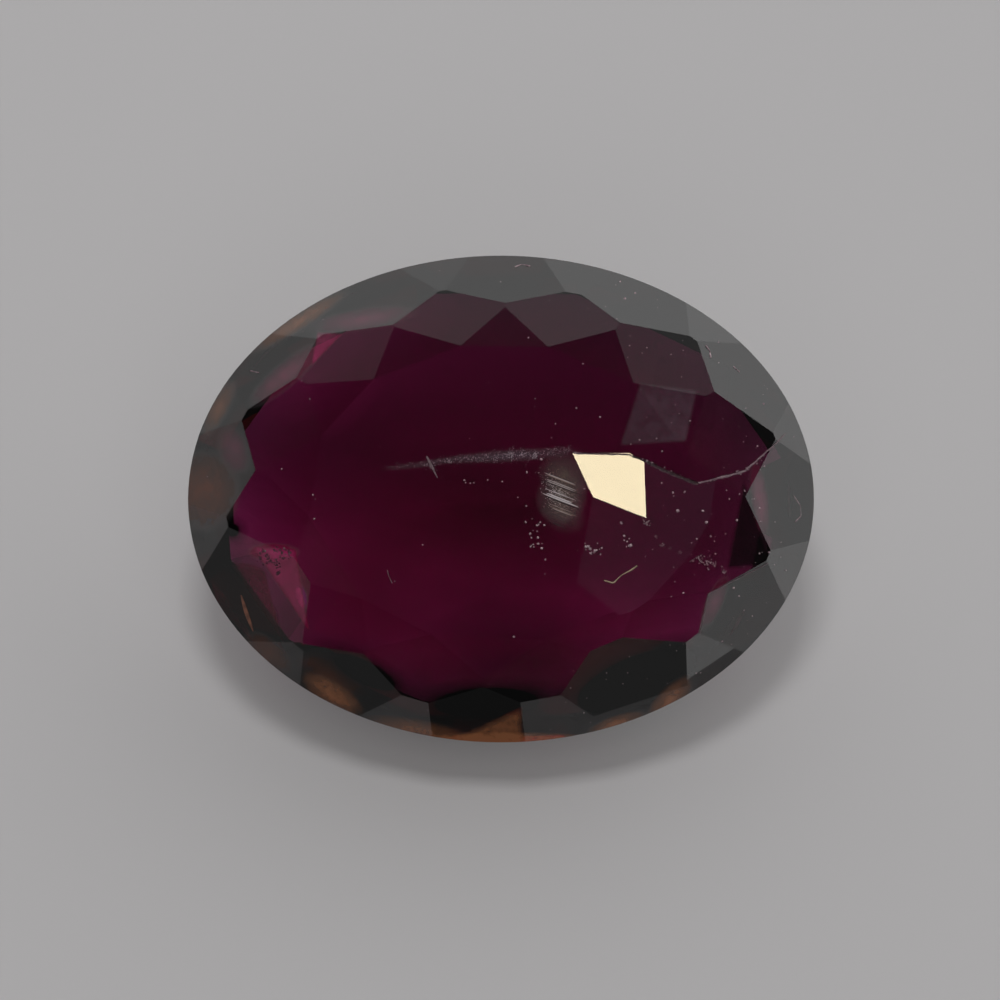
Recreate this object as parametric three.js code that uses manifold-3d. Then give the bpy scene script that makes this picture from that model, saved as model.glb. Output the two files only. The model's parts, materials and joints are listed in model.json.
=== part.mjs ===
// A cut rubellite tourmaline: one loose oval gemstone, faceted by hand and lying on its pavilion.
// Millimetres, +Z up. The stone is ground in its own cutting frame, with X along the oval, Y across it and Z out of
// the table, and is then tipped over until one pavilion facet lies flat on the ground.
import * as THREE from "three";
import { mergeVertices } from "three/addons/utils/BufferGeometryUtils.js";
import Module from "manifold-3d";

const wasm = await Module();
wasm.setup();

// Driving dimensions of the oval
const LENGTH = 9.0;
const WIDTH = 7.0;
const CROWN_HEIGHT = 1.1;
const GIRDLE_THICKNESS = 0.12;
const GIRDLE_SEGMENTS = 144;

// The crown's rings, as shares of the way from its centre to the girdle
const TABLE_CORNER = 0.615;
const STAR_TIP = 0.76;
const KITE_FALL = 2.17; // how far a kite drops over one whole radius
const CROWN_SHIFT = 0.08; // the crown was cut this far off centre, along +Y
// Where the twelve kites stand on the index wheel, anticlockwise from +X, as the hand cutter left them
const KITE_INDEX_DEG = [16, 47, 76, 102, 131, 157, 189, 224, 249, 283, 314, 342];
// How steep the girdle facet after each of those kites is, against one that would meet its star's tip
const GIRDLE_FACET_STEEPNESS = [1.08, 1.08, 1.04, 1.02, 1.1, 1.05, 0.89, 1.04, 1.05, 0.9, 1.02, 1.03];

// The pavilion: a full-bellied step cut. Each row of facets keeps one slope all round the oval, starts at its inset
// from the girdle and runs on to the next row. The last row meets in a short keel.
const PAVILION_SIDES = 12;
const PAVILION_ROWS = [
  { inset: 0, slopeDeg: 62 },
  { inset: 0.4, slopeDeg: 44 },
  { inset: 1.0, slopeDeg: 23.5 },
];
const KEEL_FLAT = 0.04; // height taken off the keel's sharp edge

// A flake has come off the table's right side, along a crack. Places on the table, seen from above.
const SCAR_TILT_DEG = 4; // how far the upper scar face leans from the table
const SCAR_TURN_SHARE = 0.155; // extra lean of the right scar face, as a share of the upper face's
const SCAR_HINGE = [1.31, 0.03]; // where the table, the upper face and the lower face meet
const UPPER_FACE_DIRECTION = [0.906, 0.422]; // downhill, in plan
const LOWER_FACE_DIRECTION = [0.983, -0.185];
const SCAR_PEAK = [2.07, -0.27]; // where the three scar faces meet
const RIGHT_FACE_START = [2.04, 0.55]; // the other end of the edge from the peak
const FLAKE_OUTLINE = [
  [1.02, 0.65],
  [1.83, 0.66],
  [2.04, 0.55],
  [2.82, 0.22],
  [3.6, 0.33],
  [6.0, 0.33],
  [6.0, -5.0],
  [1.81, -1.75],
  [1.08, -1.19],
  [0.9, -0.3],
];

// Sizes that follow from the driving ones
const HALF_LENGTH = LENGTH / 2;
const HALF_WIDTH = WIDTH / 2;
const REST_SLOPE_DEG = PAVILION_ROWS.at(-1).slopeDeg;
const PAVILION_DEPTH = depthAtInset(HALF_WIDTH);
const SCAR_FALL = Math.tan(THREE.MathUtils.degToRad(SCAR_TILT_DEG));
const LAP_SIZE = 30; // a grinding block is much larger than the stone
const SPARE_ROUGH = 0.5; // rough stone above the table before it is ground
const SPARE_CORNER = 0.0002; // a corner this near to the straight line between its neighbours isn't kept

const UP = new THREE.Vector3(0, 0, 1);
const radians = THREE.MathUtils.degToRad;

// A closed geometry as a solid that can be cut.
function solidOf(geometry) {
  const bare = geometry.clone();
  bare.deleteAttribute("normal");
  bare.deleteAttribute("uv");
  const merged = mergeVertices(bare, 1e-5);
  return new wasm.Manifold(
    new wasm.Mesh({
      numProp: 3,
      vertProperties: new Float32Array(merged.attributes.position.array),
      triVerts: new Uint32Array(merged.index.array),
    }),
  );
}

// A solid as a flat-shaded three.js geometry.
function geometryOf(solid) {
  const mesh = solid.getMesh();
  const geometry = new THREE.BufferGeometry();
  geometry.setAttribute("position", new THREE.BufferAttribute(new Float32Array(mesh.vertProperties), 3));
  geometry.setIndex(new THREE.BufferAttribute(new Uint32Array(mesh.triVerts), 1));
  const flat = geometry.toNonIndexed();
  flat.computeVertexNormals();
  return flat;
}

// The block that a lap takes off: everything on the outer side of the plane through point, square to normal.
function lapBlock(point, normal) {
  const block = new THREE.BoxGeometry(LAP_SIZE, LAP_SIZE, LAP_SIZE);
  block.translate(0, 0, LAP_SIZE / 2);
  block.applyQuaternion(new THREE.Quaternion().setFromUnitVectors(UP, normal.clone().normalize()));
  block.translate(point.x, point.y, point.z);
  return solidOf(block);
}

// How deep the pavilion is below the crown's edge, at an inset from the girdle.
function depthAtInset(inset) {
  const ends = [...PAVILION_ROWS.slice(1).map((row) => row.inset), HALF_WIDTH];
  return PAVILION_ROWS.reduce((depth, row, i) => {
    const run = Math.max(0, Math.min(inset, ends[i]) - row.inset);
    return depth + run * Math.tan(THREE.MathUtils.degToRad(row.slopeDeg));
  }, GIRDLE_THICKNESS);
}

// One crown facet on the index wheel. At the index angle it passes height at the share radius of the way out from the
// centre, and it drops by fall over one whole radius. The radius is the oval's own, so shares are alike all round.
function indexedFacet({ index, radius, height, fall, centreY }) {
  const along = new THREE.Vector3(HALF_LENGTH * Math.cos(index), HALF_WIDTH * Math.sin(index), 0);
  const point = along.multiplyScalar(radius).add(new THREE.Vector3(0, centreY, height));
  const normal = new THREE.Vector3(
    (fall * Math.cos(index)) / HALF_LENGTH,
    (fall * Math.sin(index)) / HALF_WIDTH,
    1,
  );
  return { point, normal };
}

// How far the girdle is from the crown's shifted centre at an index angle, as a share of the radius.
function girdleRadius(index) {
  const shift = CROWN_SHIFT / HALF_WIDTH;
  const inward = shift * Math.sin(index);
  return -inward + Math.sqrt(1 - shift * shift + inward * inward);
}

// The oval preform: the girdle's wall, with rough stone above and below it.
function preform() {
  const outline = new THREE.Shape();
  outline.absellipse(0, 0, HALF_LENGTH, HALF_WIDTH, 0, 2 * Math.PI);
  const rough = new THREE.ExtrudeGeometry(outline, {
    depth: PAVILION_DEPTH + CROWN_HEIGHT + SPARE_ROUGH,
    bevelEnabled: false,
    curveSegments: GIRDLE_SEGMENTS / 2,
  });
  rough.translate(0, 0, -PAVILION_DEPTH);
  return solidOf(rough);
}

// The crown's indices in radians. One that is past either end of the list is counted on round the wheel.
function kiteIndex(i) {
  const count = KITE_INDEX_DEG.length;
  const turns = Math.floor(i / count);
  return radians(KITE_INDEX_DEG[i - turns * count] + 360 * turns);
}

// The star and the girdle facet between kite i and the next one.
// The star passes the point where the two kites meet at its tip, and the girdle facet reaches the girdle at Z 0.
function facetsAfterKite(i) {
  const middle = (kiteIndex(i) + kiteIndex(i + 1)) / 2;
  const spread = Math.cos((kiteIndex(i + 1) - kiteIndex(i)) / 2);
  const girdle = girdleRadius(middle);
  const tipHeight = CROWN_HEIGHT - KITE_FALL * (STAR_TIP * spread - TABLE_CORNER);
  const starFall = (CROWN_HEIGHT - tipHeight) / (STAR_TIP - TABLE_CORNER * spread);
  const steepness = GIRDLE_FACET_STEEPNESS.at(i % GIRDLE_FACET_STEEPNESS.length);
  const girdleFall = (steepness * tipHeight) / (girdle - STAR_TIP);
  // Where this girdle facet crosses the middle line of the kite on either side of it
  const crossing =
    (girdleFall * girdle - CROWN_HEIGHT - KITE_FALL * TABLE_CORNER) / (girdleFall * spread - KITE_FALL);
  const centreY = CROWN_SHIFT;
  return {
    crossing,
    star: indexedFacet({ index: middle, radius: STAR_TIP, height: tipHeight, fall: starFall, centreY }),
    girdleFacet: indexedFacet({ index: middle, radius: girdle, height: 0, fall: girdleFall, centreY }),
  };
}

// Kite i, and the small steep triangle that takes the ridge off between its outer tip and the girdle.
function kiteAndTriangle(i) {
  const index = kiteIndex(i);
  const centreY = CROWN_SHIFT;
  const tipRadius = Math.min(facetsAfterKite(i - 1).crossing, facetsAfterKite(i).crossing);
  const tipHeight = CROWN_HEIGHT - KITE_FALL * (tipRadius - TABLE_CORNER);
  const triangleFall = tipHeight / (girdleRadius(index) - tipRadius);
  return [
    indexedFacet({ index, radius: TABLE_CORNER, height: CROWN_HEIGHT, fall: KITE_FALL, centreY }),
    indexedFacet({ index, radius: tipRadius, height: tipHeight, fall: triangleFall, centreY }),
  ];
}

function crownFacets() {
  const facets = [{ point: new THREE.Vector3(0, 0, CROWN_HEIGHT), normal: UP }];
  KITE_INDEX_DEG.forEach((_, i) => {
    const { star, girdleFacet } = facetsAfterKite(i);
    facets.push(...kiteAndTriangle(i), star, girdleFacet);
  });
  return facets;
}

// A pavilion facet: it faces straight out of the oval at the index angle, and slopes down and inwards from its inset.
function pavilionFacet(index, { inset, slopeDeg }) {
  const outward = new THREE.Vector2(Math.cos(index) / HALF_LENGTH, Math.sin(index) / HALF_WIDTH);
  const girdleDistance = 1 / outward.length();
  outward.normalize();
  const slope = radians(slopeDeg);
  const start = outward.clone().multiplyScalar(girdleDistance - inset);
  const lean = outward.clone().multiplyScalar(Math.sin(slope));
  return {
    point: new THREE.Vector3(start.x, start.y, -depthAtInset(inset)),
    normal: new THREE.Vector3(lean.x, lean.y, -Math.cos(slope)),
  };
}

function pavilionFacets() {
  const facets = [];
  for (let side = 0; side < PAVILION_SIDES; side += 1) {
    const index = (2 * Math.PI * side) / PAVILION_SIDES;
    facets.push(...PAVILION_ROWS.map((row) => pavilionFacet(index, row)));
  }
  facets.push({ point: new THREE.Vector3(0, 0, KEEL_FLAT - PAVILION_DEPTH), normal: new THREE.Vector3(0, 0, -1) });
  return facets;
}

// The flake that is missing: a shallow wedge between the table and three gently leaning scar faces, walled in by
// the crack. The right face leans like the upper one and a little more, away from the edge that the two share.
function missingFlake() {
  const hinge = new THREE.Vector3(...SCAR_HINGE, CROWN_HEIGHT);
  const upper = new THREE.Vector2(...UPPER_FACE_DIRECTION);
  const lower = new THREE.Vector2(...LOWER_FACE_DIRECTION);
  const toPeak = new THREE.Vector2(...SCAR_PEAK).sub(new THREE.Vector2(...SCAR_HINGE));
  const peakFall = SCAR_FALL * upper.dot(toPeak);
  const lowerFall = peakFall / lower.dot(toPeak); // both faces have dropped alike at the peak
  const edge = new THREE.Vector2(...SCAR_PEAK).sub(new THREE.Vector2(...RIGHT_FACE_START)).normalize();
  const awayFromEdge = new THREE.Vector2(-edge.y, edge.x).multiplyScalar(SCAR_FALL * SCAR_TURN_SHARE);
  const right = upper.clone().multiplyScalar(SCAR_FALL).add(awayFromEdge);
  const peak = new THREE.Vector3(...SCAR_PEAK, CROWN_HEIGHT - peakFall);
  const faces = [
    { point: hinge, normal: new THREE.Vector3(upper.x * SCAR_FALL, upper.y * SCAR_FALL, 1) },
    { point: hinge, normal: new THREE.Vector3(lower.x * lowerFall, lower.y * lowerFall, 1) },
    { point: peak, normal: new THREE.Vector3(right.x, right.y, 1) },
  ];
  const outline = new THREE.Shape(FLAKE_OUTLINE.map(([x, y]) => new THREE.Vector2(x, y)));
  const wall = new THREE.ExtrudeGeometry(outline, { depth: CROWN_HEIGHT, bevelEnabled: false });
  wall.translate(0, 0, CROWN_HEIGHT / 2);
  const block = solidOf(wall);
  return faces
    .map(({ point, normal }) => block.intersect(lapBlock(point, normal)))
    .reduce((whole, piece) => whole.add(piece));
}

function cutStone() {
  const ground = [...crownFacets(), ...pavilionFacets()].reduce(
    (stone, { point, normal }) => stone.subtract(lapBlock(point, normal)),
    preform(),
  );
  // Simplified, so that no spare corner is left along the straight edges
  return geometryOf(ground.subtract(missingFlake()).asOriginal().simplify(SPARE_CORNER));
}

// Rubellite: wine red, glassy and polished.
const rubelliteMaterial = new THREE.MeshStandardMaterial({
  name: "rubellite",
  color: 0x5a0a32,
  roughness: 0.05,
  metalness: 0,
});

// Tips the stone forward, towards -Y, until the lowest facet under its front long side lies level, then sets the
// middle of its footprint on the origin.
function layDown(stone) {
  stone.rotation.x = radians(REST_SLOPE_DEG);
  const box = new THREE.Box3().setFromObject(stone, true);
  stone.position.set(-(box.min.x + box.max.x) / 2, -(box.min.y + box.max.y) / 2, -box.min.z);
  return stone;
}

const rubellite = new THREE.Mesh(cutStone(), rubelliteMaterial);
rubellite.name = "rubellite";

const gemstone = new THREE.Group();
gemstone.add(layDown(rubellite));

export default gemstone;
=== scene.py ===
# %% [markdown]
# # A cut rubellite tourmaline
# A loose oval gemstone, nine millimetres long, lies tipped on one of its pavilion facets. Nearly all of its
# look is light: what the polished facets mirror, and what is left of the light after its way through the
# wine-red crystal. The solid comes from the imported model. This lesson gives it its crystal, its wear and
# its dust, and lights it.

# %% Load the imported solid
import json

import bmesh
import bpy
import numpy as np
from mathutils import Matrix, Vector


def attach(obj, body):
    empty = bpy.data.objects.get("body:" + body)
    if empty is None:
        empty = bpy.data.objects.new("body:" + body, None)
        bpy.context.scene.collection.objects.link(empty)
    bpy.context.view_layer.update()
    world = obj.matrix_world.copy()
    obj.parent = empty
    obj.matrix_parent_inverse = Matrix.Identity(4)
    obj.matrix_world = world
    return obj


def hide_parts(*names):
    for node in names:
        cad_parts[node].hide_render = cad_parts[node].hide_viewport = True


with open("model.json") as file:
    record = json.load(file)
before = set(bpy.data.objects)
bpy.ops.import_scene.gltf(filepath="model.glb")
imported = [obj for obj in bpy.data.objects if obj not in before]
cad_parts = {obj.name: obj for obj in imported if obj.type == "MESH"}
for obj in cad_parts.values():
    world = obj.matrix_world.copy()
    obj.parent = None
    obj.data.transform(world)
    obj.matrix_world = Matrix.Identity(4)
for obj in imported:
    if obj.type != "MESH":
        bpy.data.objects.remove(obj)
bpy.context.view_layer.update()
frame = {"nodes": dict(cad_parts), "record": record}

# %% [markdown]
# ## The stone's own axes
# Everything on a gemstone is placed from its table, the large flat facet on top. So the scene keeps a
# second set of axes: along the oval, across it, and out of the table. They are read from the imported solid
# itself: the table is the mount of that name, and the oval's middle is the middle of the solid's reach
# along each axis.

# %% The table's axes
MM = 0.001
CROWN_HEIGHT = 1.1

table_mount = next(m for m in frame["record"]["mounts"] if m["name"] == "table")
out = np.array(table_mount["axis"], float)
out /= np.linalg.norm(out)
along = np.array([1.0, 0.0, 0.0])
across = np.cross(out, along)
stone_axes = np.stack([along, across, out])

solid = frame["nodes"]["rubellite"]
corners = np.empty(len(solid.data.vertices) * 3)
solid.data.vertices.foreach_get("co", corners)
reach = corners.reshape(-1, 3) @ stone_axes.T
middle = (reach.min(0) + reach.max(0)) / 2
middle[2] = reach[:, 2].max() - CROWN_HEIGHT * MM
girdle_centre = middle @ stone_axes


def from_table(points_mm):
    """Row-frame places, in metres, of points given in mm along, across and out of the oval's centre."""
    return girdle_centre + np.asarray(points_mm, float) * MM @ stone_axes


print("oval in mm:", np.round(np.ptp(reach, axis=0) / MM, 3))

# %% [markdown]
# ## Standing on the facets
# Dust, nicks and scratches lie on the facets, at whatever height the facet has there. A place on the stone
# is given by two numbers, along and across the oval, and the height is found on the solid's own triangles.

# %% Height of the stone's upper side
solid.data.calc_loop_triangles()
triangle_corners = np.empty(len(solid.data.loop_triangles) * 3, np.int32)
solid.data.loop_triangles.foreach_get("vertices", triangle_corners)
triangles = ((reach - middle) / MM)[triangle_corners.reshape(-1, 3)]
facing = np.cross(triangles[:, 1] - triangles[:, 0], triangles[:, 2] - triangles[:, 0])
SLIVER = 1e-5  # square mm, twice the area in plan: smaller triangles are left out
seen_from_above = facing[:, 2] > SLIVER
upper = triangles[seen_from_above]
upper_facing = facing[seen_from_above] / np.linalg.norm(facing[seen_from_above], axis=1, keepdims=True)


def surface_under(places):
    """Height and facing of the stone's upper side under each place, in mm in the stone's axes.

    All triangles are tried at once. A place's shares of a triangle's corners are ratios of areas, and the
    triangle that holds the place is the one whose smallest share is largest.
    """
    start, one, two = upper[:, 0], upper[:, 1] - upper[:, 0], upper[:, 2] - upper[:, 0]
    area = one[:, 0] * two[:, 1] - one[:, 1] * two[:, 0]
    away = np.asarray(places, float)[:, None, :] - start[None, :, :2]
    share_one = (away[..., 0] * two[:, 1] - away[..., 1] * two[:, 0]) / area
    share_two = (away[..., 1] * one[:, 0] - away[..., 0] * one[:, 1]) / area
    smallest = np.minimum(np.minimum(share_one, share_two), 1 - share_one - share_two)
    row, held = np.arange(len(away)), smallest.argmax(1)
    rise = share_one[row, held] * one[held, 2] + share_two[row, held] * two[held, 2]
    return start[held, 2] + rise, upper_facing[held]


print("triangles on the upper side:", len(upper))

# %% [markdown]
# ## Small helpers
# Colours are written as sRGB hex values, as a colour picker shows them, and Blender wants them linear. One
# function adds any node: its settings, its socket values and its links.

# %% Colour and node helpers


def linear(hex_colour):
    """The linear RGBA of an sRGB hex colour: the sRGB curve undone on each channel."""
    srgb = np.array([int(hex_colour[i : i + 2], 16) for i in (1, 3, 5)]) / 255
    rgb = np.where(srgb <= 0.04045, srgb / 12.92, ((srgb + 0.055) / 1.055) ** 2.4)
    return (*rgb.tolist(), 1.0)


def add_node(tree, kind, sockets=None, **settings):
    """Adds a node. Settings are its own properties.

    Sockets are its inputs: each gets a value, or a link from another node's output.
    """
    node = tree.nodes.new(kind)
    for name, value in settings.items():
        setattr(node, name, value)
    for name, value in (sockets or {}).items():
        if isinstance(value, bpy.types.NodeSocket):
            tree.links.new(value, node.inputs[name])
        else:
            node.inputs[name].default_value = value
    return node


def new_material(name):
    """An empty node material, its tree and its output node."""
    material = bpy.data.materials.new(name)
    material.use_nodes = True
    material.node_tree.nodes.clear()
    output = add_node(material.node_tree, "ShaderNodeOutputMaterial")
    return material, material.node_tree, output


def set_ramp(ramp, stops):
    """Gives a Color Ramp node these stops: a place from 0 to 1 and a linear RGBA colour each."""
    while len(ramp.color_ramp.elements) < len(stops):
        ramp.color_ramp.elements.new(0.5)
    for element, (place, colour) in zip(ramp.color_ramp.elements, stops):
        element.position = place
        element.color = colour


# %% [markdown]
# ## The faceted surface
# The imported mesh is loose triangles. A copy of it is merged, and triangles that lie in one plane are
# dissolved into whole facets, so each facet is one clean flat mirror.

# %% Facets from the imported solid
MERGE = 0.0002 * MM  # corners closer than this are one
SAME_PLANE = np.radians(0.1)  # triangles that lean less than this towards each other are one facet


def facet_copy(source, name):
    """A copy of the solid's mesh with its corners merged and each facet made one flat face."""
    mesh = source.data.copy()
    mesh.name = name
    mesh.materials.clear()
    work = bmesh.new()
    work.from_mesh(mesh)
    bmesh.ops.remove_doubles(work, verts=work.verts, dist=MERGE)
    bmesh.ops.dissolve_limit(
        work, angle_limit=SAME_PLANE, verts=work.verts, edges=work.edges, use_dissolve_boundaries=False
    )
    work.to_mesh(mesh)
    work.free()
    mesh.polygons.foreach_set("use_smooth", np.zeros(len(mesh.polygons), bool))
    piece = bpy.data.objects.new(name, mesh)
    bpy.context.scene.collection.objects.link(piece)
    return piece


stone = facet_copy(solid, "rubellite_stone")
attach(stone, "root")
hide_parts("rubellite")
print("facets:", len(stone.data.polygons))

# %% [markdown]
# ## Rubellite
# Tourmaline is clear crystal with a refractive index of 1.63. Its colour isn't on its surface: light loses
# its green on the way through, so a short way looks pink and a long one wine red. That is a Volume
# Absorption node with plain values. The table darkens towards its top, and that is painted shade. The
# cause can't be seen: it may be zoned crystal, or a pavilion that sends less light back there. Absorption
# has to stay even, so the base colour, which tints the light that passes through the surface, falls off
# that way instead.

# %% The crystal
ABSORPTION_PER_MM = 1.6
ABSORPTION_COLOUR = (0.756, 0.0, 0.506, 1)  # what is left per channel: red best, green not at all
# painted shade: the crystal is lightest here and darker towards the table's top
PAINTED_SHADE_MIDDLE = (-0.6, -1.0)  # mm along and across, where the crystal is lightest
PAINTED_SHADE_DIRECTION = (0.25, 0.97)  # the way it gets darker
PAINTED_SHADE_TINTS = [  # mm that way, and the share of light that the surface lets through
    (-2.1, 0.1), (-1.7, 0.5), (-1.25, 0.9), (-0.6, 1.0), (-0.1, 0.95), (0.42, 0.66), (0.76, 0.53),
    (1.26, 0.39), (2.5, 0.37), (3.1, 0.29), (4.2, 0.17),
]

# Polished crystal: it gives the eye sharp mirrors on top and wine-red depth below them.
crystal, tree, output = new_material("rubellite_tourmaline")
place = add_node(tree, "ShaderNodeTexCoord").outputs["Object"]
painted_shade_axis = PAINTED_SHADE_DIRECTION[0] * along + PAINTED_SHADE_DIRECTION[1] * across
painted_shade_start = from_table([*PAINTED_SHADE_MIDDLE, 0]) @ painted_shade_axis
depth_of_painted_shade = add_node(
    tree, "ShaderNodeVectorMath", {0: place, 1: tuple(painted_shade_axis)}, operation="DOT_PRODUCT"
).outputs["Value"]
first, last = PAINTED_SHADE_TINTS[0][0], PAINTED_SHADE_TINTS[-1][0]
painted_shade_share = add_node(
    tree,
    "ShaderNodeMapRange",
    {"Value": depth_of_painted_shade, "From Min": painted_shade_start + first * MM, "From Max": painted_shade_start + last * MM},
).outputs["Result"]
painted_shading = add_node(tree, "ShaderNodeValToRGB", {"Fac": painted_shade_share})
set_ramp(painted_shading, [((at - first) / (last - first), (grey, grey, grey, 1)) for at, grey in PAINTED_SHADE_TINTS])

print("zoning runs over", round(last - first, 1), "mm")

# %% [markdown]
# ## Soft marks
# The photo's stone isn't one even red. It has clearer and darker places, amber, honey and rose parts near
# the rim, a dull pink patch low on the left, and a haze round the feather and the striae. Much of this is
# probably light that the real pavilion sends back. That pavilion is out of sight, and the guessed one
# doesn't send the same light. So most of these marks are stand-ins, set to match the photo, and
# they stay where they are when the stone is seen from another side. All of them have soft edges, so they
# are masks in the crystal and not pieces. A clear spot or a cloud only tints the light that passes. The
# other kinds also take some of the transmission away, so that they show a dull colour of their own.
# Of these, the clear spots are painted light, the clouds are painted shade, and the magenta spot is a
# painted glint.

# %% Kinds of soft mark
MARK_KINDS = {  # tint, share of the transmission that it takes away, how soon the tint is full
    # painted light: a lighter place in the crystal
    "clear": ("#FFFFFF", 0.0, 1.0),
    # painted shade: a darker place in the crystal
    "painted_shade_spot": ("#000000", 0.0, 1.0),
    "amber": ("#944208", 0.45, 5.0),
    "honey": ("#A86A44", 0.8, 5.0),
    "rose": ("#A04468", 0.5, 5.0),
    "pink": ("#E04488", 0.4, 5.0),
    # a painted glint
    "painted_glint": ("#D838C8", 0.5, 5.0),
    "haze": ("#9A8A7C", 0.5, 1.5),
    "milk": ("#9A88A0", 0.5, 1.5),
}
print("kinds of soft mark:", len(MARK_KINDS))

# %% [markdown]
# Most marks are ellipses that fade from the middle outwards. A strength above 1 makes the full part wider.
# A few have straight edges, as a facet has. A later mark lies over an earlier one.

# %% Places of the soft marks
SOFT_MARKS = [  # kind, mm along and across, half axes in mm, turn in degrees, strength
    # the clear marks are painted light, the clouds painted shade
    ("clear", -2.75, 1.64, 1.2, 0.9, 30, 0.5),
    ("clear", -1.60, 2.50, 1.1, 0.5, 15, 0.35),
    ("clear", 1.1, -0.35, 0.8, 0.7, 0, 0.25),
    ("clear", 2.9, -1.5, 0.9, 0.7, 30, 0.25),
    ("painted_shade_spot", 0.42, -2.35, 2.0, 1.0, 0, 0.75),
    ("painted_shade_spot", -0.2, -1.5, 1.2, 0.7, 0, 0.25),
    ("painted_shade_spot", -0.4, 0.3, 1.4, 0.6, 0, 0.2),
    ("painted_shade_spot", 3.44, 1.06, 0.8, 0.9, 0, 0.4),
    ("painted_shade_spot", -3.80, -1.09, 0.40, 0.80, 15, 0.9),
    ("amber", -4.25, 0.12, 0.55, 0.62, 0, 0.9),
    ("amber", -3.35, -2.20, 0.45, 0.22, -38, 0.8),
    ("amber", -2.40, -2.50, 0.60, 0.30, -25, 0.6),
    ("honey", -2.90, 2.55, 0.90, 0.14, 32, 0.6),
    ("honey", -4.05, 1.30, 0.50, 0.16, 62, 0.5),
    ("painted_shade_spot", -3.84, -0.45, 0.26, 0.26, 0, 1.5),
    ("painted_shade_spot", -1.95, -2.48, 0.95, 0.32, -27, 2.0),
    ("painted_shade_spot", -0.20, -2.92, 1.35, 0.40, 2, 2.2),
    ("painted_shade_spot", 1.95, -2.60, 1.50, 0.58, 22, 2.5),
    ("honey", 0.10, -3.56, 1.90, 0.22, 0, 3.0),
    ("honey", -2.42, -2.80, 0.55, 0.20, -32, 1.3),
    ("honey", -1.20, -3.34, 0.90, 0.20, -10, 0.9),
    ("honey", 1.65, -3.26, 0.50, 0.16, 20, 1.2),
    ("honey", 2.42, -2.90, 0.50, 0.20, 48, 1.0),
    ("rose", -1.98, 2.57, 0.85, 0.18, 9, 0.7),
    ("rose", -3.08, 1.78, 0.75, 0.20, 40, 0.8),
    ("rose", -3.82, 0.70, 0.24, 0.40, 20, 0.7),
    ("rose", 3.70, 0.00, 0.14, 0.60, 7, 1.0),
    ("rose", 3.05, -1.48, 0.14, 0.45, -24, 0.9),
    ("haze", 0.92, 0.34, 0.42, 0.34, -20, 0.6),
    ("haze", 0.86, 0.02, 0.38, 0.40, -20, 0.75),
    ("haze", 0.90, -0.24, 0.34, 0.26, -20, 0.2),
    ("milk", 0.15, 0.62, 1.05, 0.10, 4, 0.5),
    ("milk", -0.95, 0.52, 0.80, 0.06, 8, 0.3),
    # painted light: the top edge of the pink patch made brighter
    ("pink", -3.25, -0.76, 0.40, 0.14, 0, 0.9),
    # the next mark is a painted glint
    ("painted_glint", -2.85, -1.40, 0.09, 0.20, 10, 1.0),
]
SOFT_SHAPES = [  # kind, corners against the clock in mm, width of the soft edge in mm, strength
    ("pink", [(-3.57, -0.67), (-2.72, -1.95), (-2.92, -0.71)], 0.05, 0.8),
    # the next shape is painted shade
    ("painted_shade_spot", [(3.46, 0.36), (3.20, -1.02), (3.92, -0.97)], 0.06, 0.97),
    ("honey", [(-0.85, -3.50), (-0.01, -3.60), (0.33, -3.58), (0.31, -2.96)], 0.1, 0.85),
    ("milk", [(1.68, 0.75), (2.65, 0.81), (2.82, 1.57), (1.97, 1.67)], 0.05, 0.28),
    ("pink", [(-2.72, 1.88), (-2.24, 2.38), (-2.64, 2.40)], 0.04, 0.6),
]
print("soft marks:", len(SOFT_MARKS) + len(SOFT_SHAPES))

# %% [markdown]
# A mask is worked out from the place on the stone alone. An ellipse is a spherical gradient in a space that
# is moved, turned and scaled to it. A straight-edged shape is the product of one ramp for each of its
# edges.

# %% Masks
SPOT_REACH = 20 * MM  # out of the table and into it, further than the stone goes


def spot(x, y, half_x, half_y, turn):
    """A mask of an ellipse on the stone: 1 in its middle, falling evenly to 0 at its rim."""
    turned = Matrix(stone_axes.T) @ Matrix.Rotation(np.radians(turn), 3, "Z")
    mapped = add_node(
        tree,
        "ShaderNodeMapping",
        {
            "Vector": place,
            "Location": tuple(from_table([x, y, 0])),
            "Rotation": tuple(turned.to_euler()),
            "Scale": (half_x * MM, half_y * MM, SPOT_REACH),
        },
        vector_type="TEXTURE",
    ).outputs[0]
    fading = add_node(tree, "ShaderNodeTexGradient", {"Vector": mapped}, gradient_type="SPHERICAL")
    return fading.outputs["Fac"]


def inside(corners, soft_mm):
    """A mask of a convex shape on the stone: 1 inside, 0 outside, with edges soft_mm wide.

    For each edge the distance to its inner side is turned to 0 to 1, and these are multiplied.
    """
    mask = None
    for start, end in zip(corners, [*corners[1:], corners[0]]):
        run = np.array(end) - start
        inward = np.array([-run[1], run[0]]) / np.hypot(*run)
        axis = inward[0] * along + inward[1] * across
        edge = from_table([*start, 0]) @ axis
        depth = add_node(tree, "ShaderNodeVectorMath", {0: place, 1: tuple(axis)}, operation="DOT_PRODUCT")
        side = add_node(
            tree,
            "ShaderNodeMapRange",
            {"Value": depth.outputs["Value"], "From Min": edge, "From Max": edge + soft_mm * MM},
        ).outputs["Result"]
        if mask is None:
            mask = side
        else:
            mask = add_node(tree, "ShaderNodeMath", {0: mask, 1: side}, operation="MULTIPLY").outputs[0]
    return mask


masks = [(kind, spot(*ellipse), strength) for kind, *ellipse, strength in SOFT_MARKS]
masks += [(kind, inside(corners, soft_mm), strength) for kind, corners, soft_mm, strength in SOFT_SHAPES]
print("masks:", len(masks))

# %% [markdown]
# The dull kinds are kept off the pavilion, and a noise makes them uneven. A facet's lean, the share of its
# facing that points out of the table, tells the crown, the girdle and the pavilion apart.

# %% Mix the marks into the crystal
SKIN_PATCH = 0.12  # mm, the size of the patches in the dull marks
GIRDLE_LEAN = 0.2  # a facet that leans less than this, either way, is girdle

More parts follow.
